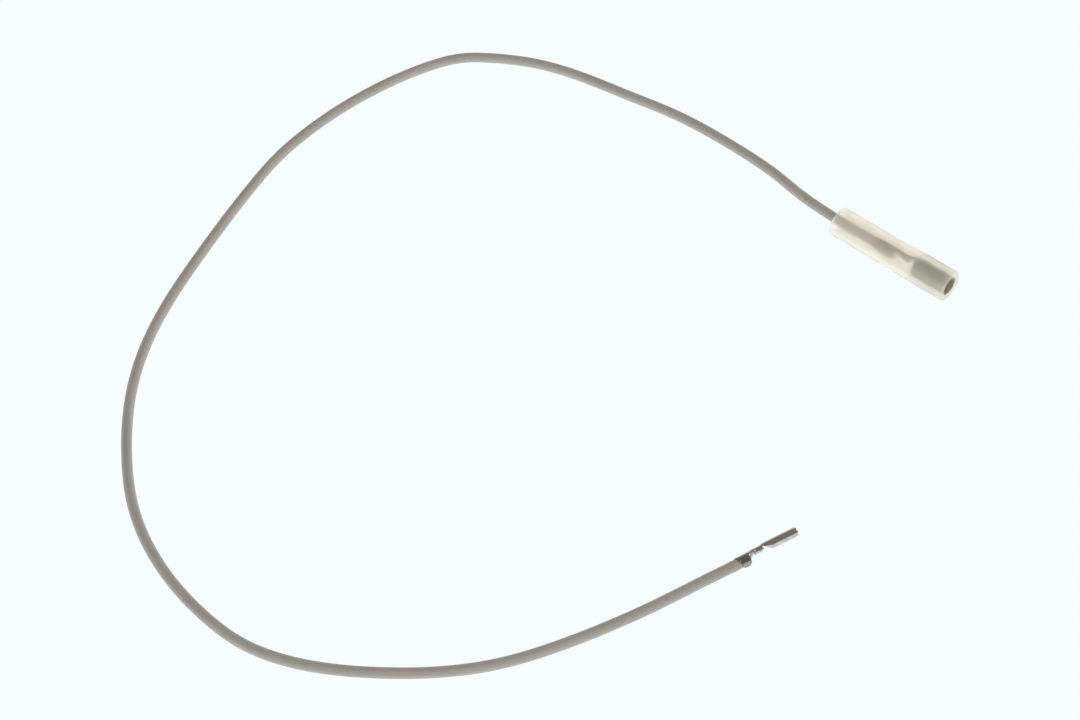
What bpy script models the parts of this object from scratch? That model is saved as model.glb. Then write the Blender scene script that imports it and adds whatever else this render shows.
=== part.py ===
"""Flame-sensing lead: a push-on receptacle in a silicone sleeve, a silicone wire and a socket contact.

Row frame: +X runs along the sleeve and out of its mouth, +Z is up and z = 0 is the surface that the
lead lies on. The sleeve's middle is over the origin. Lengths are in millimetres, and MM turns them
into metres.
"""

import math
from dataclasses import dataclass

import bpy
import numpy as np
from mathutils import Matrix, Vector

MM = 0.001
UP = Vector((0.0, 0.0, 1.0))

# Wire: a thick soft cover on a stranded conductor
WIRE_OD = 2.5
WIRE_BORE = 1.2
STRAND_OD = 0.18
STRAND_RINGS = ((1, 0.0), (6, 0.21), (12, 0.41))
STRAND_LAY = 90.0
ROUTE_STEP = 6.4

# Sleeve: a soft tube that swells where the receptacle's barrel fills it
SLEEVE_LENGTH = 33.2
SLEEVE_REAR_OD = 7.4
SLEEVE_FRONT_OD = 7.8
SLEEVE_BORE = 4.8
SLEEVE_EDGE = 0.35
SLEEVE_BORE_EDGE = 0.15
SLEEVE_SIDES = 36
SWELL_FROM, SWELL_TO = 1.5, 7.0
AXIS_HEIGHT = SLEEVE_FRONT_OD / 2


@dataclass
class Terminal:
    """Sizes of a terminal pressed from strip. Places are along the strip, from the wire's side.

    The grip is the crimp on the cover, the core is the crimp on the bare strands and the barrel is
    the rolled tube at the front. Each one's lift is how far its axis lies towards the spine, the
    strip's unbroken middle, from the wire's axis.
    """

    sheet: float
    grip: tuple
    grip_slant: float
    core: tuple
    core_radius: float
    core_flare: float
    core_groove: float
    core_lift: float
    barrel: tuple
    barrel_od: float
    barrel_lift: float
    barrel_slant: float
    spines: tuple
    shoulder: float
    cover_end: float
    strand_end: float
    wing_cells: int


# Receptacle for a 4 mm pin, placed along the row's X axis
RECEPTACLE = Terminal(
    sheet=0.34,
    grip=(-5.0, 0.0),
    grip_slant=0.8,
    core=(1.4, 4.4),
    core_radius=0.74,
    core_flare=0.11,
    core_groove=0.06,
    core_lift=0.69,
    barrel=(6.2, 16.35),
    barrel_od=4.72,
    barrel_lift=0.0,
    barrel_slant=0.8,
    spines=(1.1, 0.8, 1.7),
    shoulder=0.0,
    cover_end=0.4,
    strand_end=4.8,
    wing_cells=10,
)
RECEPTACLE_SPINE_TILT = math.radians(-56.0)

# Contact for a thin round pin, placed from its own rear edge
CONTACT = Terminal(
    sheet=0.2,
    grip=(0.0, 2.9),
    grip_slant=1.2,
    core=(4.5, 6.6),
    core_radius=0.65,
    core_flare=0.07,
    core_groove=0.06,
    core_lift=0.90,
    barrel=(9.0, 15.8),
    barrel_od=2.15,
    barrel_lift=0.88,
    barrel_slant=0.15,
    spines=(0.8, 0.5, 0.7),
    shoulder=1.8,
    cover_end=3.0,
    strand_end=7.0,
    wing_cells=8,
)
CONTACT_PLACE = Vector((29.4, -96.32, 1.55))
CONTACT_HEADING = math.radians(72.2)
CONTACT_SPINE_TILT = math.radians(40.0)

# How far round from the spine's middle the wings reach, in degrees
GRIP_WINGS = 166.0
CORE_WINGS = 171.0
SHOULDER_WINGS = 60.0
BARREL_WINGS = 178.5

GRIP_GAP = 0.06
SPINE_CELLS = 4
SEAM_GROOVE_WIDTH = 0.55

# The free wire between the two terminals: where it starts to leave the sleeve's axis, the points
# that its centre passes, and how far behind the contact it is straight again
STRAIGHT_TO = -12.0
ROUTE = (
    (-17.0, 0.1, 3.88),
    (-22.0, 0.4, 3.76),
    (-26.6, 0.98, 3.45),
    (-32.0, 2.2, 2.8),
    (-38.0, 3.86, 2.0),
    (-45.5, 5.08, 1.38),
    (-58.5, 5.48, 1.25),
    (-71.5, 4.68, 1.25),
    (-84.3, 2.38, 1.25),
    (-97.0, -0.02, 1.25),
    (-109.4, -3.92, 1.25),
    (-119.8, -10.02, 1.25),
    (-125.6, -15.12, 1.25),
    (-129.3, -21.52, 1.25),
    (-133.1, -32.72, 1.25),
    (-136.5, -58.32, 1.25),
    (-135.8, -71.22, 1.25),
    (-133.2, -83.92, 1.25),
    (-126.1, -109.02, 1.25),
    (-122.0, -121.32, 1.25),
    (-117.0, -133.22, 1.25),
    (-110.5, -144.52, 1.25),
    (-93.2, -163.82, 1.25),
    (-82.8, -171.92, 1.25),
    (-71.4, -177.82, 1.25),
    (-46.2, -183.22, 1.25),
    (-39.5, -183.12, 1.25),
    (-33.0, -181.92, 1.25),
    (-21.0, -176.72, 1.25),
    (-10.6, -169.52, 1.25),
    (7.3, -150.92, 1.25),
    (13.5, -139.92, 1.27),
    (18.7, -128.12, 1.35),
    (23.3, -115.62, 1.47),
)
STRAIGHT_BEHIND_CONTACT = 6.0


def clear_scene():
    """Removes what Blender starts with, so that only this object is left."""
    for found in list(bpy.data.objects):
        bpy.data.objects.remove(found)


def new_collection(name):
    made = bpy.data.collections.new(name)
    bpy.context.scene.collection.children.link(made)
    return made


def new_material(name, colour, metallic, roughness, transmission=0.0):
    """A plain Principled material."""
    made = bpy.data.materials.new(name)
    made.use_nodes = True
    shader = made.node_tree.nodes["Principled BSDF"]
    shader.inputs["Base Color"].default_value = (*colour, 1.0)
    shader.inputs["Metallic"].default_value = metallic
    shader.inputs["Roughness"].default_value = roughness
    shader.inputs["Transmission Weight"].default_value = transmission
    made.diffuse_color = (*colour, 1.0)
    return made


def add_object(name, data, material, collection):
    made = bpy.data.objects.new(name, data)
    data.materials.append(material)
    collection.objects.link(made)
    return made


def mesh_from(name, points, faces, edges=()):
    """A smooth-shaded mesh from points in millimetres."""
    made = bpy.data.meshes.new(name)
    made.from_pydata([tuple(MM * value for value in point) for point in points], edges, faces)
    made.shade_smooth()
    made.update()
    return made


def tube_along(name, path, diameter, bevel_resolution, filled):
    """A curve object's data: a round tube through the path's points, which are in millimetres."""
    curve = bpy.data.curves.new(name, "CURVE")
    curve.dimensions = "3D"
    curve.bevel_depth = MM * diameter / 2
    curve.bevel_resolution = bevel_resolution
    curve.use_fill_caps = filled
    spline = curve.splines.new("POLY")
    spline.points.add(len(path) - 1)
    for point, place in zip(spline.points, path):
        point.co = (*(MM * place), 1.0)
    return curve


def add_sleeve(material, collection):
    """The silicone tube, turned from its half section. The outer side is listed front to rear."""
    end = SLEEVE_LENGTH / 2
    rear, front, bore = SLEEVE_REAR_OD / 2, SLEEVE_FRONT_OD / 2, SLEEVE_BORE / 2
    edge, bore_edge = SLEEVE_EDGE, SLEEVE_BORE_EDGE
    swell = front - rear
    swell_length = SWELL_TO - SWELL_FROM
    profile = (
        (front - edge, end),
        (front - 0.3 * edge, end - 0.3 * edge),
        (front, end - edge),
        (front, SWELL_TO),
        (rear + 0.75 * swell, SWELL_TO - 0.3 * swell_length),
        (rear + 0.2 * swell, SWELL_FROM + 0.25 * swell_length),
        (rear, SWELL_FROM),
        (rear, -end + edge),
        (rear - 0.3 * edge, -end + 0.3 * edge),
        (rear - edge, -end),
        (bore + bore_edge, -end),
        (bore, -end + bore_edge),
        (bore, end - bore_edge),
        (bore + bore_edge, end),
    )
    points = [(radius, 0.0, along) for radius, along in profile]
    edges = [(i, (i + 1) % len(points)) for i in range(len(points))]
    sleeve = add_object("sleeve", mesh_from("sleeve", points, (), edges), material, collection)
    turn = sleeve.modifiers.new("turned", "SCREW")
    turn.axis = "Z"
    turn.angle = math.tau
    turn.steps = SLEEVE_SIDES
    turn.render_steps = SLEEVE_SIDES
    turn.use_merge_vertices = True
    turn.merge_threshold = 1e-5
    sleeve.rotation_euler = (0.0, math.pi / 2, 0.0)
    sleeve.location = (0.0, 0.0, MM * AXIS_HEIGHT)


@dataclass
class Row:
    """One line across a terminal's strip, at x along it.

    radius is the bend of the strip's middle layer, lift moves the bend's centre towards the spine
    and spine is half the spine's width. Wings reach that many degrees round from the spine's
    middle, and skew moves their tips along x. groove is how far the seam is pressed in, as a share
    of the radius.
    """

    x: float
    radius: float
    lift: float
    spine: float
    wings: float = None
    skew: float = 0.0
    groove: float = 0.0

    def point(self, angle, x):
        from_seam = (math.pi - abs(angle)) / SEAM_GROOVE_WIDTH
        bend = self.radius * (1.0 - self.groove * math.exp(-from_seam * from_seam))
        return (x, bend * math.sin(angle), self.lift + bend * math.cos(angle))


def between(first, second, share):
    """A row of bare spine that share of the way from one row to another."""

    def mix(a, b):
        return a + (b - a) * share

    return Row(
        mix(first.x, second.x),
        mix(first.radius, second.radius),
        mix(first.lift, second.lift),
        mix(first.spine, second.spine),
    )


def grip_rows(terminal):
    """The crimp on the cover. Its wings slope at the rear, so they are shortest at the seam."""
    rear, front = terminal.grip
    radius = WIRE_OD / 2 + GRIP_GAP + terminal.sheet / 2
    spine = terminal.spines[0]
    slant = terminal.grip_slant
    return [
        Row(rear, radius + GRIP_GAP / 2, 0.0, spine, GRIP_WINGS, slant),
        Row(rear + 0.4, radius, 0.0, spine, GRIP_WINGS, 0.88 * slant),
        Row((rear + front) / 2 + 0.3, radius, 0.0, spine, GRIP_WINGS, 0.12 * slant),
        Row(front, radius, 0.0, spine, GRIP_WINGS, -0.3 * slant),
    ]


def core_rows(terminal):
    """The crimp on the strands, with a bellmouth at each end and its seam pressed in."""
    rear, front = terminal.core
    radius, flare = terminal.core_radius, terminal.core_flare
    groove = terminal.core_groove
    stations = (
        (rear, radius + flare, 0.25, 0.4 * groove),
        (rear + 0.4, radius, 0.15, 0.9 * groove),
        ((rear + front) / 2, radius, 0.0, groove),
        (front - 0.4, radius, -0.1, 0.9 * groove),
        (front, radius + 0.9 * flare, -0.2, 0.4 * groove),
    )
    lift, spine = terminal.core_lift, terminal.spines[1]
    return [Row(x, bend, lift, spine, CORE_WINGS, skew, press) for x, bend, skew, press in stations]


def barrel_rows(terminal):
    """The rolled tube. A shoulder, where there is one, is the half-open stretch behind it."""
    rear, front = terminal.barrel
    radius = (terminal.barrel_od - terminal.sheet) / 2
    lift, spine = terminal.barrel_lift, terminal.spines[2]
    slant = terminal.barrel_slant
    rows = []
    if terminal.shoulder:
        x = rear - terminal.shoulder
        rows.append(Row(x, 0.93 * radius, lift, 0.85 * spine, SHOULDER_WINGS))
    return rows + [
        Row(rear, radius, lift, spine, BARREL_WINGS, slant),
        Row(rear + 0.1 * (front - rear), radius, lift, spine, BARREL_WINGS, 0.33 * slant),
        Row((rear + front) / 2, radius, lift, spine, BARREL_WINGS),
        Row(front, radius, lift, spine, BARREL_WINGS),
    ]


def terminal_rows(terminal):
    """Every row of the strip, with stretches of bare spine between the crimps and the barrel."""
    grip, core, barrel = grip_rows(terminal), core_rows(terminal), barrel_rows(terminal)
    waist = [between(grip[-1], core[0], share) for share in (0.3, 0.7)]
    neck = [between(core[-1], barrel[0], share) for share in (0.25, 0.65)]
    return [*grip, *waist, *core, *neck, *barrel]


def strip_mesh(name, terminal):
    """The strip's middle layer. A row with no wings ends the wings before it."""
    rows = terminal_rows(terminal)
    cells = terminal.wing_cells
    points, faces = [], []
    spines, wings = [], []
    for row in rows:
        half = row.spine / row.radius
        line = []
        for i in range(SPINE_CELLS + 1):
            line.append(len(points))
            points.append(row.point(half * (2.0 * i / SPINE_CELLS - 1.0), row.x))
        spines.append(line)
        sides = []
        for side, root in ((-1.0, line[0]), (1.0, line[-1])):
            wing = [root]
            for k in range(1, cells + 1 if row.wings else 1):
                share = k / cells
                angle = half + (math.radians(row.wings) - half) * share
                wing.append(len(points))
                points.append(row.point(side * angle, row.x + row.skew * share))
            sides.append(wing)
        wings.append(sides)
    for i in range(len(rows) - 1):
        here, there = spines[i], spines[i + 1]
        for k in range(SPINE_CELLS):
            faces.append((here[k], here[k + 1], there[k + 1], there[k]))
        if not (rows[i].wings and rows[i + 1].wings):
            continue
        left, right = wings[i]
        left_next, right_next = wings[i + 1]
        for k in range(cells):
            faces.append((left[k + 1], left[k], left_next[k], left_next[k + 1]))
            faces.append((right[k], right[k + 1], right_next[k + 1], right_next[k]))
    return mesh_from(name, points, faces)


def add_terminal(name, terminal, material, collection):
    """A terminal pressed from sheet: its middle layer is built and then thickened both ways."""
    made = add_object(name, strip_mesh(name, terminal), material, collection)
    thicken = made.modifiers.new("sheet", "SOLIDIFY")
    thicken.thickness = MM * terminal.sheet
    thicken.offset = 0.0
    thicken.use_even_offset = True
    return made


def contact_directions():
    """The contact's directions along itself and towards its spine."""
    along = Vector((math.cos(CONTACT_HEADING), math.sin(CONTACT_HEADING), 0.0))
    left = UP.cross(along)
    spine = math.cos(CONTACT_SPINE_TILT) * UP + math.sin(CONTACT_SPINE_TILT) * left
    return along, spine


def smooth_slopes(points, spans, first, last):
    """Slopes at the points of the smoothest curve that leaves along first and arrives along last."""
    count = len(points)
    matrix = np.eye(count)
    known = np.zeros((count, 3))
    known[0], known[-1] = first, last
    for i in range(1, count - 1):
        before, after = spans[i - 1], spans[i]
        matrix[i, i - 1] = after
        matrix[i, i] = 2.0 * (before + after)
        matrix[i, i + 1] = before
        rise = (points[i + 1] - points[i]) / after
        climb = (points[i] - points[i - 1]) / before
        known[i] = 3.0 * (before * rise + after * climb)
    return np.linalg.solve(matrix, known)


def smooth_curve(points, first, last, steps=24):
    """Close points along that curve."""
    spans = np.linalg.norm(np.diff(points, axis=0), axis=1)
    slopes = smooth_slopes(points, spans, first, last)
    dense = []
    for i, span in enumerate(spans):
        for t in np.linspace(0.0, 1.0, steps, endpoint=False):
            left = (1 - t) ** 2 * ((1 + 2 * t) * points[i] + t * span * slopes[i])
            right = t * t * ((3 - 2 * t) * points[i + 1] - (1 - t) * span * slopes[i + 1])
            dense.append(left + right)
    dense.append(points[-1])
    return np.array(dense)


def evenly(dense, step):
    """Points of the curve at equal distances, about step apart."""
    run = np.concatenate([[0.0], np.cumsum(np.linalg.norm(np.diff(dense, axis=0), axis=1))])
    stations = np.linspace(0.0, run[-1], round(run[-1] / step) + 1)
    return np.stack([np.interp(stations, run, dense[:, k]) for k in range(3)], axis=1)


def wire_line():
    """The centre of the wire's cover from the receptacle to the contact."""
    along, _ = contact_directions()
    start = (STRAIGHT_TO, 0.0, AXIS_HEIGHT)
    end = CONTACT_PLACE - STRAIGHT_BEHIND_CONTACT * along
    free = evenly(smooth_curve(np.array([start, *ROUTE, end]), (-1.0, 0.0, 0.0), along), ROUTE_STEP)
    before = [(RECEPTACLE.cover_end, 0.0, AXIS_HEIGHT), (RECEPTACLE.grip[0] - 0.2, 0.0, AXIS_HEIGHT)]
    after = [CONTACT_PLACE - 0.4 * along, CONTACT_PLACE + CONTACT.cover_end * along]
    return [Vector(point) for point in (*before, *free, *after)]


def add_cover(line, material, collection):
    """The silicone cover: a tube swept along the line, then given its wall."""
    cover = tube_along("wire_insulation", line, WIRE_OD, 2, filled=False)
    insulation = add_object("wire_insulation", cover, material, collection)
    wall = insulation.modifiers.new("wall", "SOLIDIFY")
    wall.thickness = MM * (WIRE_OD - WIRE_BORE) / 2
    wall.offset = -1.0


def strand_stations(line):
    """The line carried on at both ends into the crimps, and the wire's heading at each point.

    The strands step sideways between the cover's end and the core crimp, which lies nearer to the
    spine. The heading doesn't turn with that step, so the strands keep their spacing.
    """
    along, contact_spine = contact_directions()
    tilt = RECEPTACLE_SPINE_TILT
    spine = Vector((0.0, -math.sin(tilt), math.cos(tilt)))
    axis = Vector((0.0, 0.0, AXIS_HEIGHT)) + RECEPTACLE.core_lift * spine
    into_core = RECEPTACLE.core[0] + 0.1
    before = [axis + Vector((x, 0.0, 0.0)) for x in (RECEPTACLE.strand_end, into_core)]
    axis = CONTACT_PLACE + CONTACT.core_lift * contact_spine
    into_core = CONTACT.core[0] + 0.05
    after = [axis + x * along for x in (into_core, CONTACT.strand_end)]
    centres = [*before, *line, *after]
    headings = []
    for i, _ in enumerate(centres):
        if i <= len(before) + 1:
            headings.append(Vector((-1.0, 0.0, 0.0)))
        elif i >= len(centres) - len(after) - 2:
            headings.append(along)
        else:
            headings.append((centres[i + 1] - centres[i - 1]).normalized())
    return centres, headings


def strand_seats():
    """Each strand's distance from the wire's middle and its turn round it, ring by ring."""
    seats = []
    for ring, (count, radius) in enumerate(STRAND_RINGS):
        for k in range(count):
            seats.append((radius, math.tau * (k + 0.5 * (ring % 2)) / count))
    return seats


def add_strands(line, material, collection):
    """One strand down the middle and two rings twisted round it together."""
    centres, headings = strand_stations(line)
    travelled = 0.0
    seats = strand_seats()
    paths = [[] for _ in seats]
    for i, (centre, heading) in enumerate(zip(centres, headings)):
        if i > 0:
            travelled += (centre - centres[i - 1]).length
        side = UP.cross(heading).normalized()
        top = heading.cross(side)
        for path, (radius, turn) in zip(paths, seats):
            turned = turn + math.tau * travelled / STRAND_LAY
            path.append(centre + radius * (math.cos(turned) * side + math.sin(turned) * top))
    for k, path in enumerate(paths, start=1):
        name = f"strand_{k:02d}"
        add_object(name, tube_along(name, path, STRAND_OD, 0, filled=True), material, collection)


def build():
    clear_scene()
    lead = new_collection("flame_sensor_lead")
    cream = new_material("sleeve_silicone", (0.86, 0.82, 0.72), 0.0, 0.4, 0.5)
    taupe = new_material("wire_silicone", (0.40, 0.36, 0.33), 0.0, 0.5)
    receptacle_metal = new_material("receptacle_metal", (0.62, 0.58, 0.52), 1.0, 0.35)
    contact_metal = new_material("contact_metal", (0.58, 0.53, 0.48), 1.0, 0.32)
    copper = new_material("strand_copper", (0.76, 0.70, 0.66), 1.0, 0.35)

    add_sleeve(cream, lead)

    receptacle = add_terminal("receptacle", RECEPTACLE, receptacle_metal, lead)
    receptacle.location = (0.0, 0.0, MM * AXIS_HEIGHT)
    receptacle.rotation_euler = (RECEPTACLE_SPINE_TILT, 0.0, 0.0)

    contact = add_terminal("contact", CONTACT, contact_metal, lead)
    along, spine = contact_directions()
    turned = Matrix((along, spine.cross(along), spine)).transposed().to_4x4()
    contact.matrix_world = Matrix.Translation(MM * CONTACT_PLACE) @ turned

    line = wire_line()
    add_cover(line, taupe, lead)
    add_strands(line, copper, lead)


build()
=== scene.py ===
"""Looks of the flame-sensing lead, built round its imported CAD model.

Row frame: +X runs along the sleeve and out of its mouth, +Z is up and z = 0 is the surface that the
lead lies on. Every length is in metres.
"""

import math
from dataclasses import dataclass

import bpy
import numpy as np
from mathutils import Matrix, Vector, noise


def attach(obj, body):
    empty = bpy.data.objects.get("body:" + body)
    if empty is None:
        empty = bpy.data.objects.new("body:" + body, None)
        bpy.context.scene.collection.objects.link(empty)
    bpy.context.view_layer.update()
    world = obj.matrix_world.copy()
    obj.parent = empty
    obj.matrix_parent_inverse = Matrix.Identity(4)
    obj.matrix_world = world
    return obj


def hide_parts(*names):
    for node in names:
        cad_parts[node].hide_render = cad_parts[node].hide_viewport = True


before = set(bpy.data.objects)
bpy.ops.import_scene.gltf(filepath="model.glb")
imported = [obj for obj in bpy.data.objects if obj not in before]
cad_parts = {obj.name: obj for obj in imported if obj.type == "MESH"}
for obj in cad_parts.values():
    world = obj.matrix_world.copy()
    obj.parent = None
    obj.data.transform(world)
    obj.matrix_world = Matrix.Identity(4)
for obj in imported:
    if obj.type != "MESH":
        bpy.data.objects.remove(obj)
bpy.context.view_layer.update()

UP = Vector((0.0, 0.0, 1.0))
AHEAD = Vector((1.0, 0.0, 0.0))

# Camera: the point of the floor that it looks at, and where it stands from there
CAMERA_TARGET = Vector((-0.043534, -0.078696, 0.0))
CAMERA_AZIMUTH = math.radians(41.12)
CAMERA_ELEVATION = math.radians(48.5)
CAMERA_DISTANCE = 0.7
CAMERA_LENS_MM = 100.0
CAMERA_SENSOR_MM = 36.0
CAMERA_CLIP_START, CAMERA_CLIP_END = 0.01, 50.0

# Lit table: half its side, and how far below the pale floor its glow lies and how bright it is
TABLE_HALF_SIDE = 8.0
GLOW_DEPTH = 0.0002
GLOW_STRENGTH = 1.3

# Room: a bright backdrop that fades into a dim sky between two heights, where straight up is 1
SKY_COLOUR = (0.29, 0.243, 0.21)
HORIZON_COLOUR = (1.05, 1.06, 1.06)
HORIZON_FROM, HORIZON_TO = 0.18, 0.46

# Lamps: each one's place from the camera's target, its power in watts and its colour
LAMP_SIZE = 0.5
FRONT_LAMP = (Vector((0.45, -0.62, 0.95)), 3.8, (0.86, 0.98, 1.0))
BACK_LAMP = (Vector((0.24, 0.90, 0.76)), 3.2, (1.0, 0.95, 0.88))

# Wire: its cover, and its strands ring by ring as (how many, distance from the middle)
WIRE_RADIUS = 0.00125
WIRE_BORE_RADIUS = 0.0006
STRAND_RADIUS = 0.00009
STRAND_RINGS = ((1, 0.0), (6, 0.00021), (12, 0.00041))
STRAND_LAY = 0.09

# Their meshes: the distance between the cover's rings of points, and the points in each ring
WIRE_STEP = 0.0008
WIRE_SIDES = 32
STRAND_SIDES = 10

# How far each grip nips the cover, how far the cover bulges behind it and at its cut end, and how
# uneven it is along its length
GRIP_NIP = 0.00004
BULGE_BEHIND_GRIP = 0.00007
BULGE_AT_END = 0.00004
WIRE_UNEVEN = 0.000008

# How far from each end of the cover the strands' rings stand close together, how close they stand,
# how many there are between, and how many there are along each bared end
CLOSE_POINTS_TO = 0.004
CLOSE_POINTS_STEP = 0.0004
SPARSE_POINTS = 116
BARED_POINTS = 20

# How far inside a core crimp the strands have come to its axis
STRANDS_SETTLED_BY = 0.0001

# How far the strands' cut ends spread, as a share of their distance from the middle, over what
# length they do, and how much their lengths differ
STRANDS_SPREAD = 0.06
STRANDS_SPREAD_OVER = 0.0006
STRANDS_UNEVEN = 0.00012

# Sleeve: its sizes, where it swells over the barrel, and where it is painted greyer over the
# barrel, a painted shade of the barrel seen through the wall
SLEEVE_HALF_LENGTH = 0.0166
SLEEVE_REAR_RADIUS = 0.0037
SLEEVE_FRONT_RADIUS = 0.0039
SLEEVE_BORE_RADIUS = 0.0024
SLEEVE_EDGE = 0.0003
SLEEVE_BORE_EDGE = 0.00015
SLEEVE_SIDES = 96
SLEEVE_UNEVEN = 0.00002
SWELL_FROM, SWELL_TO = 0.0015, 0.007
BARREL_SHADE_FROM, BARREL_SHADE_TO = 0.0070, 0.0078
CORNER_CELLS = 5
AXIS_HEIGHT = SLEEVE_FRONT_RADIUS


@dataclass
class Terminal:
    """Sizes of a terminal pressed from strip. Places are along the strip, from the wire's side.

    The grip is the crimp on the cover, the core is the crimp on the bare strands and the barrel is
    the rolled tube at the front. Each one's lift is how far its axis lies towards the spine, the
    strip's unbroken middle, from the wire's axis, and spines are half its width at the grip, core
    and barrel. shoulder is the length of the half-open stretch behind the barrel, and nose is how
    far the barrel's tip closes, as a share of its radius. The wire's cover and strands reach to
    cover_end and strand_end. edge is how far the cut edges are rounded.
    """

    sheet: float
    grip: tuple
    grip_slant: float
    core: tuple
    core_radius: float
    core_flare: float
    core_groove: float
    core_lift: float
    barrel: tuple
    barrel_radius: float
    barrel_lift: float
    barrel_slant: float
    spines: tuple
    shoulder: float
    nose: float
    cover_end: float
    strand_end: float
    wing_cells: int
    edge: float


RECEPTACLE = Terminal(
    sheet=0.00034,
    grip=(-0.0050, 0.0),
    grip_slant=0.0008,
    core=(0.0014, 0.0044),
    core_radius=0.00074,
    core_flare=0.00011,
    core_groove=0.06,
    core_lift=0.00069,
    barrel=(0.0062, 0.01635),
    barrel_radius=0.00219,
    barrel_lift=0.0,
    barrel_slant=0.0008,
    spines=(0.0011, 0.0008, 0.0017),
    shoulder=0.0,
    nose=0.0,
    cover_end=0.0004,
    strand_end=0.0048,
    wing_cells=14,
    edge=0.00005,
)
RECEPTACLE_PLACE = Vector((0.0, 0.0, AXIS_HEIGHT))
RECEPTACLE_TILT = math.radians(-56.0)

CONTACT = Terminal(
    sheet=0.0002,
    grip=(0.0, 0.0029),
    grip_slant=0.0012,
    core=(0.0045, 0.0066),
    core_radius=0.00065,
    core_flare=0.00007,
    core_groove=0.06,
    core_lift=0.0009,
    barrel=(0.0090, 0.0158),
    barrel_radius=0.000975,
    barrel_lift=0.00088,
    barrel_slant=0.00015,
    spines=(0.0008, 0.0005, 0.0007),
    shoulder=0.0018,
    nose=0.06,
    cover_end=0.0030,
    strand_end=0.0070,
    wing_cells=12,
    edge=0.00003,
)
CONTACT_PLACE = Vector((0.0294, -0.09632, 0.00155))
CONTACT_HEADING = math.radians(72.2)
CONTACT_TILT = math.radians(40.0)

# How far round from the spine's middle the wings reach, in degrees
GRIP_WINGS = 166.0
CORE_WINGS = 171.0
SHOULDER_WINGS = 60.0
BARREL_WINGS = 178.5

# The space left between the cover and a grip, and the width of a seam's groove in radians
GRIP_GAP = 0.00003
SEAM_GROOVE_WIDTH = 0.55

SPINE_CELLS = 4

# The free wire's route: where it starts to leave the sleeve's axis, the points that its centre
# passes, and how far behind the contact it is straight again
STRAIGHT_TO = -0.012
ROUTE = (
    (-0.017, 0.0001, 0.00388),
    (-0.022, 0.0004, 0.00376),
    (-0.0266, 0.00098, 0.00345),
    (-0.032, 0.0022, 0.0028),
    (-0.038, 0.00386, 0.002),
    (-0.0455, 0.00508, 0.00138),
    (-0.0585, 0.00548, 0.00125),
    (-0.0715, 0.00468, 0.00125),
    (-0.0843, 0.00238, 0.00125),
    (-0.097, -2e-05, 0.00125),
    (-0.1094, -0.00392, 0.00125),
    (-0.1198, -0.01002, 0.00125),
    (-0.1256, -0.01512, 0.00125),
    (-0.1293, -0.02152, 0.00125),
    (-0.1331, -0.03272, 0.00125),
    (-0.1365, -0.05832, 0.00125),
    (-0.1358, -0.07122, 0.00125),
    (-0.1332, -0.08392, 0.00125),
    (-0.1261, -0.10902, 0.00125),
    (-0.122, -0.12132, 0.00125),
    (-0.117, -0.13322, 0.00125),
    (-0.1105, -0.14452, 0.00125),
    (-0.0932, -0.16382, 0.00125),
    (-0.0828, -0.17192, 0.00125),
    (-0.0714, -0.17782, 0.00125),
    (-0.0462, -0.18322, 0.00125),
    (-0.0395, -0.18312, 0.00125),
    (-0.033, -0.18192, 0.00125),
    (-0.021, -0.17672, 0.00125),
    (-0.0106, -0.16952, 0.00125),
    (0.0073, -0.15092, 0.00125),
    (0.0135, -0.13992, 0.00127),
    (0.0187, -0.12812, 0.00135),
    (0.0233, -0.11562, 0.00147),
)
STRAIGHT_BEHIND_CONTACT = 0.006


# ---------------------------------------------------------------- camera


def add_camera():
    """The camera, aimed at a point of the floor inside the wire's loop."""
    azimuth, elevation = CAMERA_AZIMUTH, CAMERA_ELEVATION
    flat = Vector((math.sin(azimuth), -math.cos(azimuth), 0.0))
    back = math.cos(elevation) * flat + math.sin(elevation) * UP
    data = bpy.data.cameras.new("camera")
    data.lens = CAMERA_LENS_MM
    data.sensor_width = CAMERA_SENSOR_MM
    data.clip_start = CAMERA_CLIP_START
    data.clip_end = CAMERA_CLIP_END
    camera = bpy.data.objects.new("camera", data)
    camera.location = CAMERA_TARGET + CAMERA_DISTANCE * back
    camera.rotation_euler = (-back).to_track_quat("-Z", "Y").to_euler()
    bpy.context.scene.collection.objects.link(camera)
    bpy.context.scene.camera = camera


# ---------------------------------------------------------------- materials

# Sockets of a Mix node that mixes colours
MIX_SHARE, MIX_FIRST, MIX_SECOND, MIX_RESULT = 0, 6, 7, 2


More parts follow.
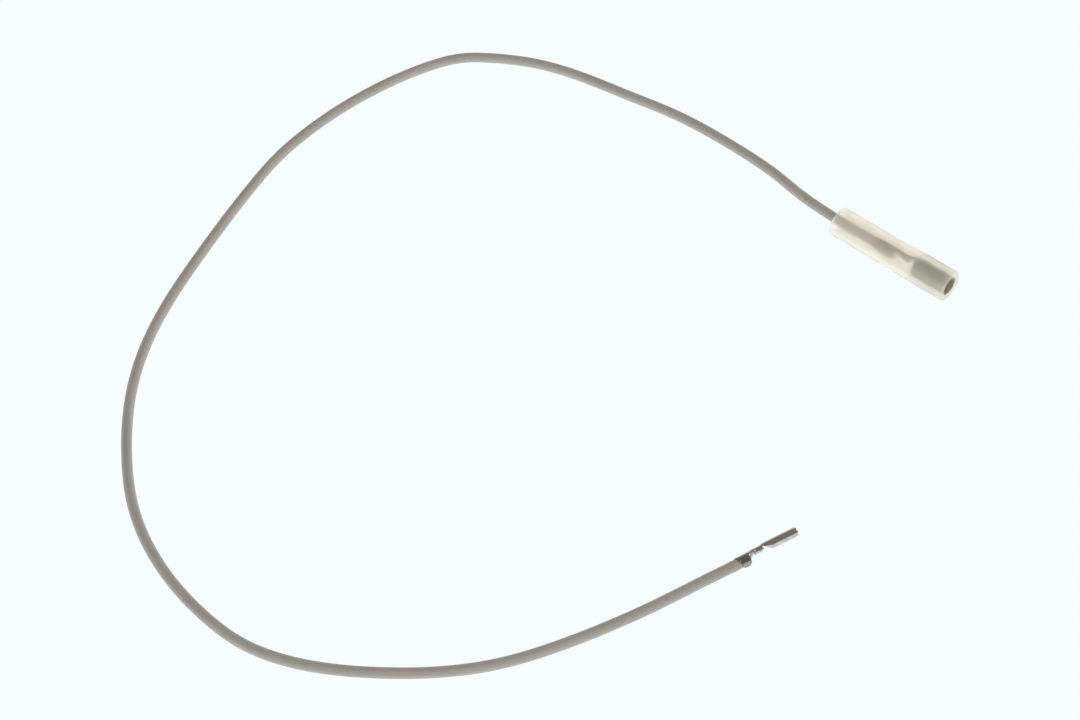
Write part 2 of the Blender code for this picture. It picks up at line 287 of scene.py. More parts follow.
class Shader:
    """A material's node tree, with short ways to add its nodes."""

    def __init__(self, name, colour):
        self.material = bpy.data.materials.new(name)
        self.material.use_nodes = True
        self.material.diffuse_color = (*colour, 1.0)
        self.tree = self.material.node_tree
        self.surface = self.tree.nodes["Principled BSDF"]
        self.set("Base Color", (*colour, 1.0))

    def set(self, socket, value):
        """A plain value on the surface's own socket, or a link to it."""
        self.fill(self.surface.inputs[socket], value)

    def fill(self, socket, value):
        """A plain value on any socket, or a link to it."""
        if isinstance(value, bpy.types.NodeSocket):
            self.tree.links.new(value, socket)
        else:
            socket.default_value = value

    def add(self, kind, settings=(), **inputs):
        """A node. Input names are written with underscores for spaces."""
        made = self.tree.nodes.new("ShaderNode" + kind)
        for key, value in dict(settings).items():
            setattr(made, key, value)
        for key, value in inputs.items():
            self.fill(made.inputs[key.replace("_", " ")], value)
        return made

    def place(self, scale=(1.0, 1.0, 1.0), attribute=None):
        """Coordinates in metres, in the row frame or from a mesh attribute, stretched by scale."""
        if attribute:
            source = self.add("Attribute", {"attribute_name": attribute}).outputs["Vector"]
        else:
            source = self.add("TexCoord").outputs["Object"]
        return self.add("Mapping", Vector=source, Scale=scale).outputs["Vector"]

    def noise(self, where, scale, detail=3.0, roughness=0.55):
        """Noise from 0 to 1, with about scale lumps to the metre."""
        made = self.add("TexNoise", Vector=where, Scale=scale, Detail=detail, Roughness=roughness)
        return made.outputs["Fac"]

    def spread(self, value, low, high, to_low=0.0, to_high=1.0):
        """Value's stretch from low to high, spread smoothly over another."""
        made = self.add(
            "MapRange",
            {"interpolation_type": "SMOOTHSTEP"},
            Value=value,
            From_Min=low,
            From_Max=high,
            To_Min=to_low,
            To_Max=to_high,
        )
        return made.outputs["Result"]

    def mix(self, share, first, second):
        """A colour that share of the way from the first to the second."""
        made = self.add("Mix", {"data_type": "RGBA"})
        self.fill(made.inputs[MIX_SHARE], share)
        for index, value in ((MIX_FIRST, first), (MIX_SECOND, second)):
            self.fill(made.inputs[index], (*value, 1.0) if isinstance(value, tuple) else value)
        return made.outputs[MIX_RESULT]

    def sum(self, first, second, share=1.0):
        """First plus that share of second."""
        made = self.add("Math", {"operation": "MULTIPLY_ADD"})
        for index, value in enumerate((second, share, first)):
            self.fill(made.inputs[index], value)
        return made.outputs[0]

    def relief(self, height, depth):
        """Bumps as deep as depth, where height runs from 0 to 1."""
        made = self.add("Bump", Height=height, Distance=depth, Strength=1.0)
        self.set("Normal", made.outputs["Normal"])


def wire_silicone():
    """Grey-brown silicone rubber: matt, with faint lines from the die and a little dust."""
    made = Shader("wire_silicone", (0.39, 0.375, 0.345))
    here = made.place()
    run = made.place((1.0, 1.0, 0.012), "around")
    cloud = made.noise(here, 90.0)
    lines = made.noise(run, 5200.0, 2.0)
    grain = made.noise(here, 7000.0, 4.0, 0.65)
    specks = made.spread(made.noise(here, 2600.0, 1.0), 0.70, 0.76)
    tone = made.mix(made.spread(cloud, 0.3, 0.7), (0.375, 0.36, 0.328), (0.405, 0.39, 0.36))
    tone = made.mix(made.spread(lines, 0.35, 0.75, 0.0, 0.25), tone, (0.33, 0.312, 0.28))
    tone = made.mix(made.spread(grain, 0.35, 0.7, 0.0, 0.16), tone, (0.46, 0.445, 0.41))
    tone = made.mix(made.sum(0.0, specks, 0.35), tone, (0.62, 0.61, 0.58))
    made.set("Base Color", tone)
    made.set("Roughness", made.spread(made.sum(cloud, grain), 0.6, 1.3, 0.42, 0.6))
    made.set("IOR", 1.41)
    made.set("Subsurface Weight", 0.12)
    made.set("Subsurface Radius", (1.0, 0.85, 0.65))
    made.set("Subsurface Scale", 0.0005)
    made.relief(made.sum(grain, lines, 0.8), 0.000009)
    return made.material


def sleeve_silicone(name, clear):
    """Silicone rubber that lets a blurred view through. clear runs from 0, milky, to 1.

    It is painted greyer over the receptacle's barrel, a painted shade of the barrel seen through
    the wall.
    """
    made = Shader(name, (0.97, 0.95, 0.90))
    here = made.place()
    run = made.place((0.06, 1.0, 1.0))
    cloud = made.noise(here, 160.0)
    lines = made.noise(run, 2600.0, 2.0)
    grain = made.noise(here, 6500.0, 4.0, 0.65)
    tone = made.mix(made.spread(cloud, 0.3, 0.7), (0.86, 0.838, 0.768), (0.835, 0.812, 0.738))
    tone = made.mix(made.spread(lines, 0.4, 0.75, 0.0, 0.3), tone, (0.88, 0.855, 0.79))
    # Painted shade: from 7.0 to 7.8 mm on, the tone turns 60 % of the way to grey, standing in for
    # the barrel seen through the wall
    along = made.add("SeparateXYZ", Vector=here).outputs["X"]
    barrel_shade = made.spread(along, BARREL_SHADE_FROM, BARREL_SHADE_TO, 0.0, 0.6)
    tone = made.mix(barrel_shade, tone, (0.66, 0.65, 0.59))
    made.set("Base Color", tone)
    made.set("Roughness", made.spread(made.sum(cloud, grain), 0.6, 1.3, 0.85, 0.95))
    made.set("IOR", 1.05)
    made.set("Transmission Weight", clear)
    made.set("Subsurface Weight", 1.0)
    made.set("Subsurface Radius", (1.0, 0.9, 0.7))
    made.set("Subsurface Scale", 0.004)
    # Painted glow: the sleeve gives off a faint cream light of its own
    made.set("Emission Color", (1.0, 0.96, 0.86, 1.0))
    made.set("Emission Strength", 0.02)
    made.relief(made.sum(grain, lines, 0.6), 0.000012)
    return made.material


def pressed_metal(name, light, dark, roughness, edge, grip_front):
    """Tinned strip: lines from the rolling, dull patches, and the grip painted darker, a painted
    shade.

    edge is how much the metal reflects where it is seen at a slant, and grip_front is where along
    the strip the grip ends.
    """
    made = Shader(name, light)
    made.set("Metallic", 1.0)
    flat = made.place(attribute="strip")
    rolled = made.place((0.05, 1.0, 1.0), "strip")
    patches = made.noise(flat, 700.0, 4.0, 0.6)
    lines = made.noise(rolled, 9000.0, 3.0, 0.6)
    pits = made.noise(made.place(), 9000.0, 2.0)
    tone = made.mix(made.spread(patches, 0.35, 0.68), light, dark)
    tone = made.mix(made.spread(lines, 0.45, 0.75, 0.0, 0.35), tone, dark)
    along = made.add("SeparateXYZ", Vector=flat).outputs["X"]
    # Painted shade: up to the grip's front the tone turns 70 % of the way to half the dark tone,
    # fading out over the next 0.5 mm
    grip_painted_shade = made.spread(along, grip_front, grip_front + 0.0005, 0.7, 0.0)
    tone = made.mix(grip_painted_shade, tone, tuple(0.5 * part for part in dark))
    made.set("Specular Tint", (edge, edge, edge, 1.0))
    made.set("Base Color", tone)
    worn = made.sum(patches, lines, 0.7)
    made.set("Roughness", made.spread(worn, 0.6, 1.15, roughness - 0.06, roughness + 0.12))
    made.relief(made.sum(lines, pits, 0.5), 0.000006)
    return made.material


def cut_brass():
    """The strip's sheared edges, where the punch bared the brass under the tin."""
    made = Shader("cut_brass", (0.32, 0.26, 0.17))
    made.set("Metallic", 1.0)
    tears = made.noise(made.place(), 9000.0, 3.0)
    tone = made.mix(made.spread(tears, 0.35, 0.7), (0.34, 0.27, 0.17), (0.24, 0.20, 0.15))
    made.set("Base Color", tone)
    made.set("Roughness", made.spread(tears, 0.3, 0.7, 0.35, 0.55))
    made.relief(tears, 0.00001)
    return made.material


def worn_bore():
    """The receptacle's inner face, where the tin is dull and rubbed by the pin."""
    made = Shader("worn_bore", (0.58, 0.52, 0.42))
    made.set("Metallic", 0.5)
    rubbed = made.place((0.08, 1.0, 1.0), "strip")
    streaks = made.noise(rubbed, 4000.0, 3.0, 0.6)
    patches = made.noise(made.place(attribute="strip"), 900.0, 3.0)
    tone = made.mix(made.spread(patches, 0.35, 0.68), (0.60, 0.545, 0.45), (0.47, 0.42, 0.34))
    tone = made.mix(made.spread(streaks, 0.45, 0.75, 0.0, 0.5), tone, (0.38, 0.335, 0.26))
    made.set("Base Color", tone)
    made.set("Roughness", made.spread(streaks, 0.3, 0.7, 0.42, 0.6))
    made.relief(streaks, 0.000008)
    return made.material


def tinned_copper():
    """Fine tinned strands, with copper showing faintly through the tin."""
    made = Shader("strand_copper", (0.84, 0.83, 0.81))
    made.set("Metallic", 0.6)
    worn = made.noise(made.place(), 3500.0, 3.0)
    drawn = made.noise(made.place(), 12000.0, 2.0)
    tone = made.mix(made.spread(worn, 0.5, 0.75), (0.86, 0.86, 0.84), (0.82, 0.72, 0.64))
    made.set("Base Color", tone)
    made.set("Roughness", made.spread(worn, 0.3, 0.7, 0.26, 0.42))
    made.relief(drawn, 0.000003)
    return made.material


def glowing(name, low, high, strength):
    """A material that only gives light, hardly varied in colour."""
    made = Shader(name, high)
    made.set("Base Color", (0.0, 0.0, 0.0, 1.0))
    made.set("Specular IOR Level", 0.0)
    made.set("Emission Color", made.mix(made.noise(made.place(), 2.0, 1.0), low, high))
    made.set("Emission Strength", strength)
    return made.material


# ---------------------------------------------------------------- floor and light


def add_plane(name, height, material):
    """A level square that isn't part of the object."""
    half = TABLE_HALF_SIDE
    corners = ((-half, -half), (half, -half), (half, half), (-half, half))
    data = bpy.data.meshes.new(name)
    data.from_pydata([(x, y, height) for x, y in corners], [], [(0, 1, 2, 3)])
    data.materials.append(material)
    plane = bpy.data.objects.new(name, data)
    bpy.context.scene.collection.objects.link(plane)
    return plane


def add_floor():
    """A lit table. The camera sees a pale floor, and a brighter glow under it lights the object."""
    pale = glowing("pale_floor", (0.915, 0.975, 0.985), (0.94, 0.99, 0.99), 1.0)
    floor = add_plane("floor", 0.0, pale)
    floor.visible_diffuse = False
    floor.visible_glossy = False
    floor.visible_transmission = False
    floor.visible_shadow = False
    lit = glowing("lit_table", (0.97, 1.0, 1.0), (0.98, 1.0, 1.0), GLOW_STRENGTH)
    glow = add_plane("glow", -GLOW_DEPTH, lit)
    glow.visible_camera = False


def add_sky():
    """A bright backdrop low down all round, and dim warm light above it."""
    world = bpy.data.worlds.new("studio")
    world.use_nodes = True
    bpy.context.scene.world = world
    tree = world.node_tree
    height = tree.nodes.new("ShaderNodeSeparateXYZ")
    tree.links.new(tree.nodes.new("ShaderNodeTexCoord").outputs["Generated"], height.inputs[0])
    rise = tree.nodes.new("ShaderNodeMapRange")
    rise.interpolation_type = "SMOOTHSTEP"
    rise.inputs["From Min"].default_value = HORIZON_FROM
    rise.inputs["From Max"].default_value = HORIZON_TO
    tree.links.new(height.outputs["Z"], rise.inputs["Value"])
    fade = tree.nodes.new("ShaderNodeMix")
    fade.data_type = "RGBA"
    tree.links.new(rise.outputs["Result"], fade.inputs[MIX_SHARE])
    fade.inputs[MIX_FIRST].default_value = (*HORIZON_COLOUR, 1.0)
    fade.inputs[MIX_SECOND].default_value = (*SKY_COLOUR, 1.0)
    tree.links.new(fade.outputs[MIX_RESULT], tree.nodes["Background"].inputs["Color"])


def add_lamp(name, place, power, colour):
    """A round soft lamp, placed from the point that the camera is aimed at."""
    data = bpy.data.lights.new(name, "AREA")
    data.shape = "DISK"
    data.size = LAMP_SIZE
    data.energy = power
    data.color = colour
    lamp = bpy.data.objects.new(name, data)
    lamp.location = CAMERA_TARGET + place
    lamp.rotation_euler = (-place).to_track_quat("-Z", "Y").to_euler()
    bpy.context.scene.collection.objects.link(lamp)


# ---------------------------------------------------------------- pieces


def new_piece(name, points, faces, body, nodes, materials):
    """A smooth-shaded piece that rides on a body and stands for the CAD nodes."""
    data = bpy.data.meshes.new(name)
    data.from_pydata([tuple(point) for point in points], [], faces)
    data.shade_smooth()
    for material in materials:
        data.materials.append(material)
    piece = bpy.data.objects.new(name, data)
    bpy.context.scene.collection.objects.link(piece)
    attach(piece, body)
    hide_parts(*nodes)
    return piece


def set_vectors(piece, name, vectors):
    """A vector at each point of the mesh, for its material to read."""
    attribute = piece.data.attributes.new(name, "FLOAT_VECTOR", "POINT")
    attribute.data.foreach_set("vector", np.array(vectors, np.float32).ravel())


# ---------------------------------------------------------------- lines and rings


def smooth_slopes(points, spans, first, last):
    """Slopes at the points of the smoothest curve that leaves along first and ends along last."""
    count = len(points)
    matrix = np.eye(count)
    known = np.zeros((count, 3))
    known[0], known[-1] = first, last
    for i in range(1, count - 1):
        before, after = spans[i - 1], spans[i]
        matrix[i, i - 1] = after
        matrix[i, i] = 2.0 * (before + after)
        matrix[i, i + 1] = before
        rise = (points[i + 1] - points[i]) / after
        climb = (points[i] - points[i - 1]) / before
        known[i] = 3.0 * (before * rise + after * climb)
    return np.linalg.solve(matrix, known)


def smooth_curve(points, first, last, steps=24):
    """Close points along that curve."""
    spans = np.linalg.norm(np.diff(points, axis=0), axis=1)
    slopes = smooth_slopes(points, spans, first, last)
    dense = []
    for i, span in enumerate(spans):
        for t in np.linspace(0.0, 1.0, steps, endpoint=False):
            left = (1 - t) ** 2 * ((1 + 2 * t) * points[i] + t * span * slopes[i])
            right = t * t * ((3 - 2 * t) * points[i + 1] - (1 - t) * span * slopes[i + 1])
            dense.append(left + right)
    dense.append(points[-1])
    return np.array(dense)


def distances(line):
    """How far along the line each of its points is."""
    return np.concatenate([[0.0], np.cumsum(np.linalg.norm(np.diff(line, axis=0), axis=1))])


def points_at(line, stations):
    """The line's points at those distances along it."""
    run = distances(line)
    return np.stack([np.interp(stations, run, line[:, k]) for k in range(3)], axis=1)


def evenly(line, step):
    """Points of the line at equal distances, about step apart."""
    length = distances(line)[-1]
    return points_at(line, np.linspace(0.0, length, round(length / step) + 1))


def headings_of(line):
    """The line's direction at each of its points."""
    slopes = np.gradient(line, axis=0)
    return slopes / np.linalg.norm(slopes, axis=1)[:, None]


def level_frames(headings):
    """For each heading, the level direction across it and the one above it."""
    sides = np.cross(np.array(UP), headings)
    sides /= np.linalg.norm(sides, axis=1)[:, None]
    return sides, np.cross(headings, sides)


def loops_round(line, headings, radii, sides):
    """A ring of points round each point of the line."""
    across, above = level_frames(headings)
    turn = (np.arange(sides) * math.tau / sides)[None, :, None]
    spokes = np.cos(turn) * across[:, None, :] + np.sin(turn) * above[:, None, :]
    return line[:, None, :] + np.asarray(radii)[:, None, None] * spokes


def faces_between(count, sides, closed):
    """Quads between one ring and the next, and from the last back to the first if closed."""
    faces = []
    for i in range(count if closed else count - 1):
        here, there = i * sides, (i + 1) % count * sides
        for k in range(sides):
            after = (k + 1) % sides
            faces.append((here + k, here + after, there + after, there + k))
    return faces


# ---------------------------------------------------------------- wire and strands


def contact_directions():
    """The contact's directions along itself and towards its spine."""
    along = Vector((math.cos(CONTACT_HEADING), math.sin(CONTACT_HEADING), 0.0))
    spine = math.cos(CONTACT_TILT) * UP + math.sin(CONTACT_TILT) * UP.cross(along)
    return along, spine


def receptacle_spine():
    """The receptacle's direction towards its spine."""
    return math.cos(RECEPTACLE_TILT) * UP - math.sin(RECEPTACLE_TILT) * Vector((0.0, 1.0, 0.0))


def wire_line():
    """The centre of the wire's cover from the receptacle to the contact."""
    along, _ = contact_directions()
    start = (STRAIGHT_TO, 0.0, AXIS_HEIGHT)
    end = CONTACT_PLACE - STRAIGHT_BEHIND_CONTACT * along
    free = smooth_curve(np.array([start, *ROUTE, end]), (-1.0, 0.0, 0.0), along)
    before = [(RECEPTACLE.cover_end, 0.0, AXIS_HEIGHT)]
    after = [CONTACT_PLACE + CONTACT.cover_end * along]
    return np.array([*before, *free, *after])


def hump(x, low, high, edge):
    """1 between low and high, falling smoothly to 0 over edge outside them."""
    outside = np.maximum(np.maximum(low - x, x - high), 0.0) / edge
    return np.exp(-2.0 * outside * outside)


def add_wire(material):
    """The cover: a hollow tube, nipped by each grip and a little thicker beside it."""
    line = evenly(wire_line(), WIRE_STEP)
    run = distances(line)
    # For each grip: how far each ring is from the cover's end there, and the grip's two ends
    grips = []
    for terminal, place in ((RECEPTACLE, run), (CONTACT, run[-1] - run)):
        front = abs(terminal.cover_end - terminal.grip[1])
        back = front + terminal.grip[1] - terminal.grip[0]
        grips.append((place, front, back))
    radii = np.full(len(line), WIRE_RADIUS)
    for place, front, back in grips:
        radii -= GRIP_NIP * hump(place, front, back, 0.0003)
        radii += BULGE_BEHIND_GRIP * hump(place, back + 0.0007, back + 0.0008, 0.0008)
        radii += BULGE_AT_END * hump(place, 0.0, front - 0.0002, 0.0002)
    wander = [noise.noise(Vector((55.0 * s, 3.7, 1.3))) for s in run]
    radii += WIRE_UNEVEN * np.array(wander)
    headings = headings_of(line)
    outside = loops_round(line, headings, radii, WIRE_SIDES)
    inside = loops_round(line, headings, np.full(len(line), WIRE_BORE_RADIUS), WIRE_SIDES)
    loops = np.concatenate([outside, inside[::-1]])
    faces = faces_between(len(loops), WIRE_SIDES, closed=True)
    points = loops.reshape(-1, 3)
    nodes = ["wire_insulation"]
    piece = new_piece("wire", points, faces, "lead", nodes, [material])
    turn = np.tile(np.arange(WIRE_SIDES) * math.tau / WIRE_SIDES, len(loops))
    travelled = np.repeat(np.concatenate([run, run[::-1]]), WIRE_SIDES)
    around = np.stack([WIRE_RADIUS * np.cos(turn), WIRE_RADIUS * np.sin(turn), travelled], axis=1)
    set_vectors(piece, "around", around)
    return piece, line


def strand_centres():
    """The wire's line carried on into both core crimps, and its heading at each point.

    The strands step sideways between the cover's end and the core crimp, which lies nearer to the
    spine. The heading doesn't turn with that step, so the strands keep their spacing.
    """
    along, contact_spine = contact_directions()
    line = wire_line()
    run = distances(line)
    near_end = np.arange(0.0, CLOSE_POINTS_TO, CLOSE_POINTS_STEP)
    middle = np.linspace(CLOSE_POINTS_TO, run[-1] - CLOSE_POINTS_TO, SPARSE_POINTS)
    stations = np.concatenate([near_end, middle, run[-1] - near_end[::-1]])
    covered = points_at(line, stations)
    ends = []
    for terminal, place, ahead, spine in (
        (RECEPTACLE, RECEPTACLE_PLACE, AHEAD, receptacle_spine()),
        (CONTACT, CONTACT_PLACE, along, contact_spine),
    ):
        bared = []
        step_length = terminal.core[0] + STRANDS_SETTLED_BY - terminal.cover_end
        for x in np.linspace(terminal.cover_end, terminal.strand_end, BARED_POINTS)[1:]:
            share = min((x - terminal.cover_end) / step_length, 1.0)
            lift = terminal.core_lift * share * share * (3 - 2 * share)
            bared.append(np.array(place + float(x) * ahead + float(lift) * spine))
        ends.append(np.array(bared))
    centres = np.concatenate([ends[0][::-1], covered, ends[1]])
    headings = headings_of(centres)
    headings[: len(ends[0]) + 1] = (-1.0, 0.0, 0.0)
    headings[-len(ends[1]) - 1 :] = np.array(along)
    return centres, headings


def strand_seats():
    """Each strand's distance from the wire's middle and its turn round it, ring by ring."""
    seats = []
    for ring, (count, radius) in enumerate(STRAND_RINGS):
        for k in range(count):
            seats.append((radius, math.tau * (k + 0.5 * (ring % 2)) / count))
    return seats


def add_strands(material):
    """The conductor's strands, twisted together. Their cut ends stand a little apart."""
    centres, headings = strand_centres()
    run = distances(centres)
    across, above = level_frames(headings)
    loose = sum(hump(place, 0.0, 0.0, STRANDS_SPREAD_OVER) for place in (run, run[-1] - run))
    sides = STRAND_SIDES
    pieces = []
    for k, (radius, turn) in enumerate(strand_seats(), start=1):
        turned = turn + math.tau * run / STRAND_LAY
        reach = radius * (1.0 + STRANDS_SPREAD * loose)
        middle = np.cos(turned)[:, None] * across + np.sin(turned)[:, None] * above
        path = centres + reach[:, None] * middle
        short = STRANDS_UNEVEN * noise.noise(Vector((1.7 * k, 0.5, 0.0)))
        path[0] += short * headings[0]
        path[-1] -= short * headings[-1]
        loops = loops_round(path, headings, np.full(len(path), STRAND_RADIUS), sides)
        faces = faces_between(len(path), sides, closed=False)
        faces.append(tuple(reversed(range(sides))))
        faces.append(tuple(range((len(path) - 1) * sides, len(path) * sides)))
        node = f"strand_{k:02d}"
        points = loops.reshape(-1, 3)
        name = f"tinned_{node}"
        piece = new_piece(name, points, faces, "lead", [node], [material])
        pieces.append(piece)
    return pieces


# ---------------------------------------------------------------- terminals


@dataclass
class Row:
    """One line across a terminal's strip, at x along it.

    radius is the bend of the strip's middle layer, lift moves the bend's centre towards the spine
    and spine is half the spine's width. Wings reach that many degrees round from the spine's
    middle, and skew moves their tips along x. groove is how far the seam is pressed in, as a share
    of the radius.
    """

    x: float
    radius: float
    lift: float
    spine: float
    wings: float = None
    skew: float = 0.0
    groove: float = 0.0

    def point(self, angle, x):
        """The point of the strip at that angle round from the spine's middle."""
        from_seam = (math.pi - abs(angle)) / SEAM_GROOVE_WIDTH
        bend = self.radius * (1.0 - self.groove * math.exp(-from_seam * from_seam))
        return (x, bend * math.sin(angle), self.lift + bend * math.cos(angle))


def between(first, second, share):
    """A row of bare spine that share of the way from one row to another."""

    def mix(a, b):
        return a + (b - a) * share

    return Row(
        mix(first.x, second.x),
        mix(first.radius, second.radius),
        mix(first.lift, second.lift),
        mix(first.spine, second.spine),
    )


def grip_rows(terminal):
    """The crimp on the cover. Its wings slope at the rear, so they are shortest at the seam.

    A station is a place along the strip, the bend's radius and the skew there.
    """
    rear, front = terminal.grip
    radius = WIRE_RADIUS + GRIP_GAP + terminal.sheet / 2
    spine = terminal.spines[0]
    slant = terminal.grip_slant
    middle = (rear + front) / 2 + 0.0003
    stations = (
        (rear, radius + 0.00004, slant),
        (rear + 0.0004, radius, 0.88 * slant),
        (rear + 0.0012, radius - 0.00001, 0.6 * slant),
        (middle, radius - 0.00001, 0.12 * slant),
        (front - 0.0004, radius, -0.2 * slant),
        (front, radius + 0.00002, -0.3 * slant),
    )
    return [Row(x, bend, 0.0, spine, GRIP_WINGS, skew) for x, bend, skew in stations]


def core_rows(terminal):
    """The crimp on the strands, with a bellmouth at each end and its seam pressed in.

    A station is a place along the strip, the bend's radius, the skew and the groove there.
    """
    rear, front = terminal.core
    radius, flare = terminal.core_radius, terminal.core_flare
    groove = terminal.core_groove
    quarter = (front - rear) / 4
    stations = (
        (rear, radius + flare, 0.00025, 0.4 * groove),
        (rear + 0.0004, radius, 0.00015, 0.9 * groove),
        (rear + quarter, 0.995 * radius, 0.0001, groove),
        (rear + 2 * quarter, radius, 0.0, groove),
        (rear + 3 * quarter, 0.995 * radius, -0.0001, groove),
        (front - 0.0004, radius, -0.0001, 0.9 * groove),
        (front, radius + 0.9 * flare, -0.0002, 0.4 * groove),
    )
    lift, spine = terminal.core_lift, terminal.spines[1]
    return [Row(x, bend, lift, spine, CORE_WINGS, skew, press) for x, bend, skew, press in stations]


def barrel_rows(terminal):
    """The rolled tube. A shoulder, where there is one, is the half-open stretch behind it.

    Its tip closes over the last 0.6 mm by the terminal's nose.
    """
    rear, front = terminal.barrel
    radius, lift, spine = terminal.barrel_radius, terminal.barrel_lift, terminal.spines[2]
    slant = terminal.barrel_slant
    length = front - rear
    rows = []
    if terminal.shoulder:
        x = rear - terminal.shoulder
        rows.append(Row(x, 0.93 * radius, lift, 0.85 * spine, SHOULDER_WINGS))
    rows += [
        Row(rear, radius, lift, spine, BARREL_WINGS, slant),
        Row(rear + 0.04 * length, radius, lift, spine, BARREL_WINGS, 0.7 * slant),
        Row(rear + 0.1 * length, radius, lift, spine, BARREL_WINGS, 0.33 * slant),
    ]
    for share in (0.25, 0.4, 0.55, 0.7, 0.85):
        rows.append(Row(rear + share * length, radius, lift, spine, BARREL_WINGS))
    for back, squeeze in ((0.0006, 0.0), (0.0003, 0.25), (0.00008, 0.8), (0.0, 1.0)):
        bend = radius * (1.0 - squeeze * terminal.nose)
        rows.append(Row(front - back, bend, lift, spine, BARREL_WINGS))
    return rows


def terminal_rows(terminal):
    """Every row of the strip, with stretches of bare spine between the crimps and the barrel."""
    grip, core, barrel = grip_rows(terminal), core_rows(terminal), barrel_rows(terminal)
    waist = [between(grip[-1], core[0], share) for share in (0.15, 0.4, 0.6, 0.85)]
    neck = [between(core[-1], barrel[0], share) for share in (0.12, 0.35, 0.6, 0.88)]
    return [*grip, *waist, *core, *neck, *barrel]


def strip_mesh(terminal):
    """The strip's middle layer: its points, its faces, and each point's place on the flat strip."""
    rows = terminal_rows(terminal)
    cells = terminal.wing_cells
    points, faces, flat = [], [], []

    def add_point(row, angle, x):
        points.append(Vector(row.point(angle, x)))
        flat.append((x, angle * row.radius, 0.0))
        return len(points) - 1

    spines, wings = [], []
    for row in rows:
        half = row.spine / row.radius
        angles = [half * (2.0 * i / SPINE_CELLS - 1.0) for i in range(SPINE_CELLS + 1)]
        line = [add_point(row, angle, row.x) for angle in angles]
        spines.append(line)
        sides = []
        for side, root in ((-1.0, line[0]), (1.0, line[-1])):
            wing = [root]
            for k in range(1, cells + 1 if row.wings else 1):
                share = k / cells
                angle = half + (math.radians(row.wings) - half) * share
                wing.append(add_point(row, side * angle, row.x + row.skew * share))
            sides.append(wing)
        wings.append(sides)
    for i in range(len(rows) - 1):
        here, there = spines[i], spines[i + 1]
        for k in range(SPINE_CELLS):
            faces.append((here[k], here[k + 1], there[k + 1], there[k]))
        if not (rows[i].wings and rows[i + 1].wings):
            continue
        left, right = wings[i]
        left_next, right_next = wings[i + 1]
        for k in range(cells):
            faces.append((left[k + 1], left[k], left_next[k], left_next[k + 1]))
            faces.append((right[k], right[k + 1], right_next[k + 1], right_next[k]))
    return points, faces, flat


def add_terminal(name, terminal, place, along, spine, node, materials):
    """A terminal pressed from sheet: a smooth middle layer, thickened, with its edges rounded.

    Its materials are those of its inner face, its cut edges and its outer face.
    """
    points, faces, flat = strip_mesh(terminal)
    turned = Matrix((along, spine.cross(along), spine)).transposed()
    points = [place + turned @ point for point in points]
    piece = new_piece(name, points, faces, "lead", [node], materials)
    set_vectors(piece, "strip", flat)
    smooth = piece.modifiers.new("smooth", "SUBSURF")
    smooth.levels = 2
    smooth.render_levels = 2
    thicken = piece.modifiers.new("sheet", "SOLIDIFY")
    thicken.thickness = terminal.sheet
    thicken.offset = 0.0
    thicken.use_even_offset = True
    thicken.material_offset_rim = 1
    thicken.material_offset = 2
    rounded = piece.modifiers.new("edges", "BEVEL")
    rounded.width = terminal.edge
    rounded.segments = 2
    rounded.limit_method = "ANGLE"
    rounded.angle_limit = math.radians(50.0)
    return piece


# ---------------------------------------------------------------- sleeve


def quarter_round(x, radius, size, start):
    """Points of a rounded corner of that size about (x, radius), from an angle on, in degrees."""
    turns = [math.radians(start - 90.0 * k / CORNER_CELLS) for k in range(CORNER_CELLS + 1)]
    return [(x + size * math.cos(turn), radius + size * math.sin(turn)) for turn in turns]


def sleeve_radius(x):
    """The sleeve's outside radius at x."""
    share = min(max((x - SWELL_FROM) / (SWELL_TO - SWELL_FROM), 0.0), 1.0)
    share = share * share * (3.0 - 2.0 * share)
    return SLEEVE_REAR_RADIUS + (SLEEVE_FRONT_RADIUS - SLEEVE_REAR_RADIUS) * share


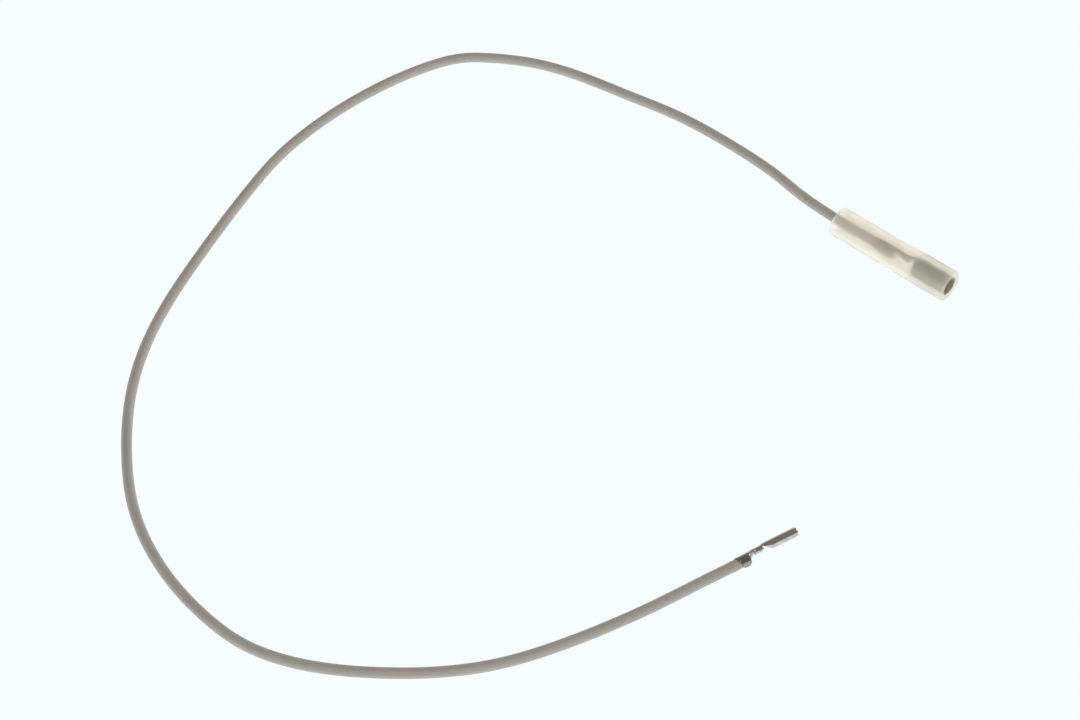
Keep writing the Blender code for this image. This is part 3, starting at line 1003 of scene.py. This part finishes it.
def add_sleeve(milky, clear):
    """A soft tube turned round the X axis. Its rear part is thinner, and rests on the floor too.

    The bore is clear silicone and the rest is milky.
    """
    end, edge, bore_edge = SLEEVE_HALF_LENGTH, SLEEVE_EDGE, SLEEVE_BORE_EDGE
    bore = SLEEVE_BORE_RADIUS
    profile = [(x, sleeve_radius(x)) for x in np.linspace(-end + edge, end - edge, 90)]
    profile += quarter_round(end - edge, SLEEVE_FRONT_RADIUS - edge, edge, 90.0)[1:]
    profile += quarter_round(end - bore_edge, bore + bore_edge, bore_edge, 0.0)
    bore_from = len(profile) - 1
    profile += [(x, bore) for x in np.linspace(end - bore_edge, -end + bore_edge, 60)[1:-1]]
    bore_to = len(profile)
    profile += quarter_round(-end + bore_edge, bore + bore_edge, bore_edge, -90.0)
    profile += quarter_round(-end + edge, SLEEVE_REAR_RADIUS - edge, edge, 180.0)[:-1]
    sides = SLEEVE_SIDES
    points = []
    for x, radius in profile:
        sag = SLEEVE_FRONT_RADIUS - sleeve_radius(x)
        for k in range(sides):
            turn = math.tau * k / sides
            uneven = noise.noise(Vector((180.0 * x, 1.1 * math.cos(turn), 1.1 * math.sin(turn))))
            reach = radius + SLEEVE_UNEVEN * uneven
            points.append((x, reach * math.sin(turn), AXIS_HEIGHT - sag + reach * math.cos(turn)))
    faces = [tuple(reversed(face)) for face in faces_between(len(profile), sides, closed=True)]
    piece = new_piece(
        "milky_sleeve", points, faces, "sleeve", ["sleeve"], [milky, clear]
    )
    for polygon in piece.data.polygons:
        polygon.material_index = int(bore_from <= polygon.index // sides < bore_to)


# ---------------------------------------------------------------- the scene

add_camera()

wire, wire_path = add_wire(wire_silicone())
strands = add_strands(tinned_copper())
contact_along, contact_up = contact_directions()
contact_skin = pressed_metal(
    "contact_metal",
    light=(0.49, 0.495, 0.48),
    dark=(0.41, 0.405, 0.385),
    roughness=0.24,
    edge=0.62,
    grip_front=CONTACT.grip[1],
)
brass = cut_brass()
contact = add_terminal(
    "pressed_contact",
    CONTACT,
    CONTACT_PLACE,
    contact_along,
    contact_up,
    "contact",
    [contact_skin, brass, contact_skin],
)

receptacle_skin = pressed_metal(
    "receptacle_metal",
    light=(0.49, 0.54, 0.51),
    dark=(0.40, 0.44, 0.41),
    roughness=0.28,
    edge=1.0,
    grip_front=RECEPTACLE.grip[1],
)
add_terminal(
    "pressed_receptacle",
    RECEPTACLE,
    RECEPTACLE_PLACE,
    AHEAD,
    receptacle_spine(),
    "receptacle",
    [worn_bore(), brass, receptacle_skin],
)
add_sleeve(
    milky=sleeve_silicone("sleeve_silicone", clear=0.6),
    clear=sleeve_silicone("sleeve_bore_silicone", clear=1.0),
)

add_floor()
add_sky()
add_lamp("front_lamp", *FRONT_LAMP)
add_lamp("back_lamp", *BACK_LAMP)
bpy.context.scene.view_settings.view_transform = "Standard"
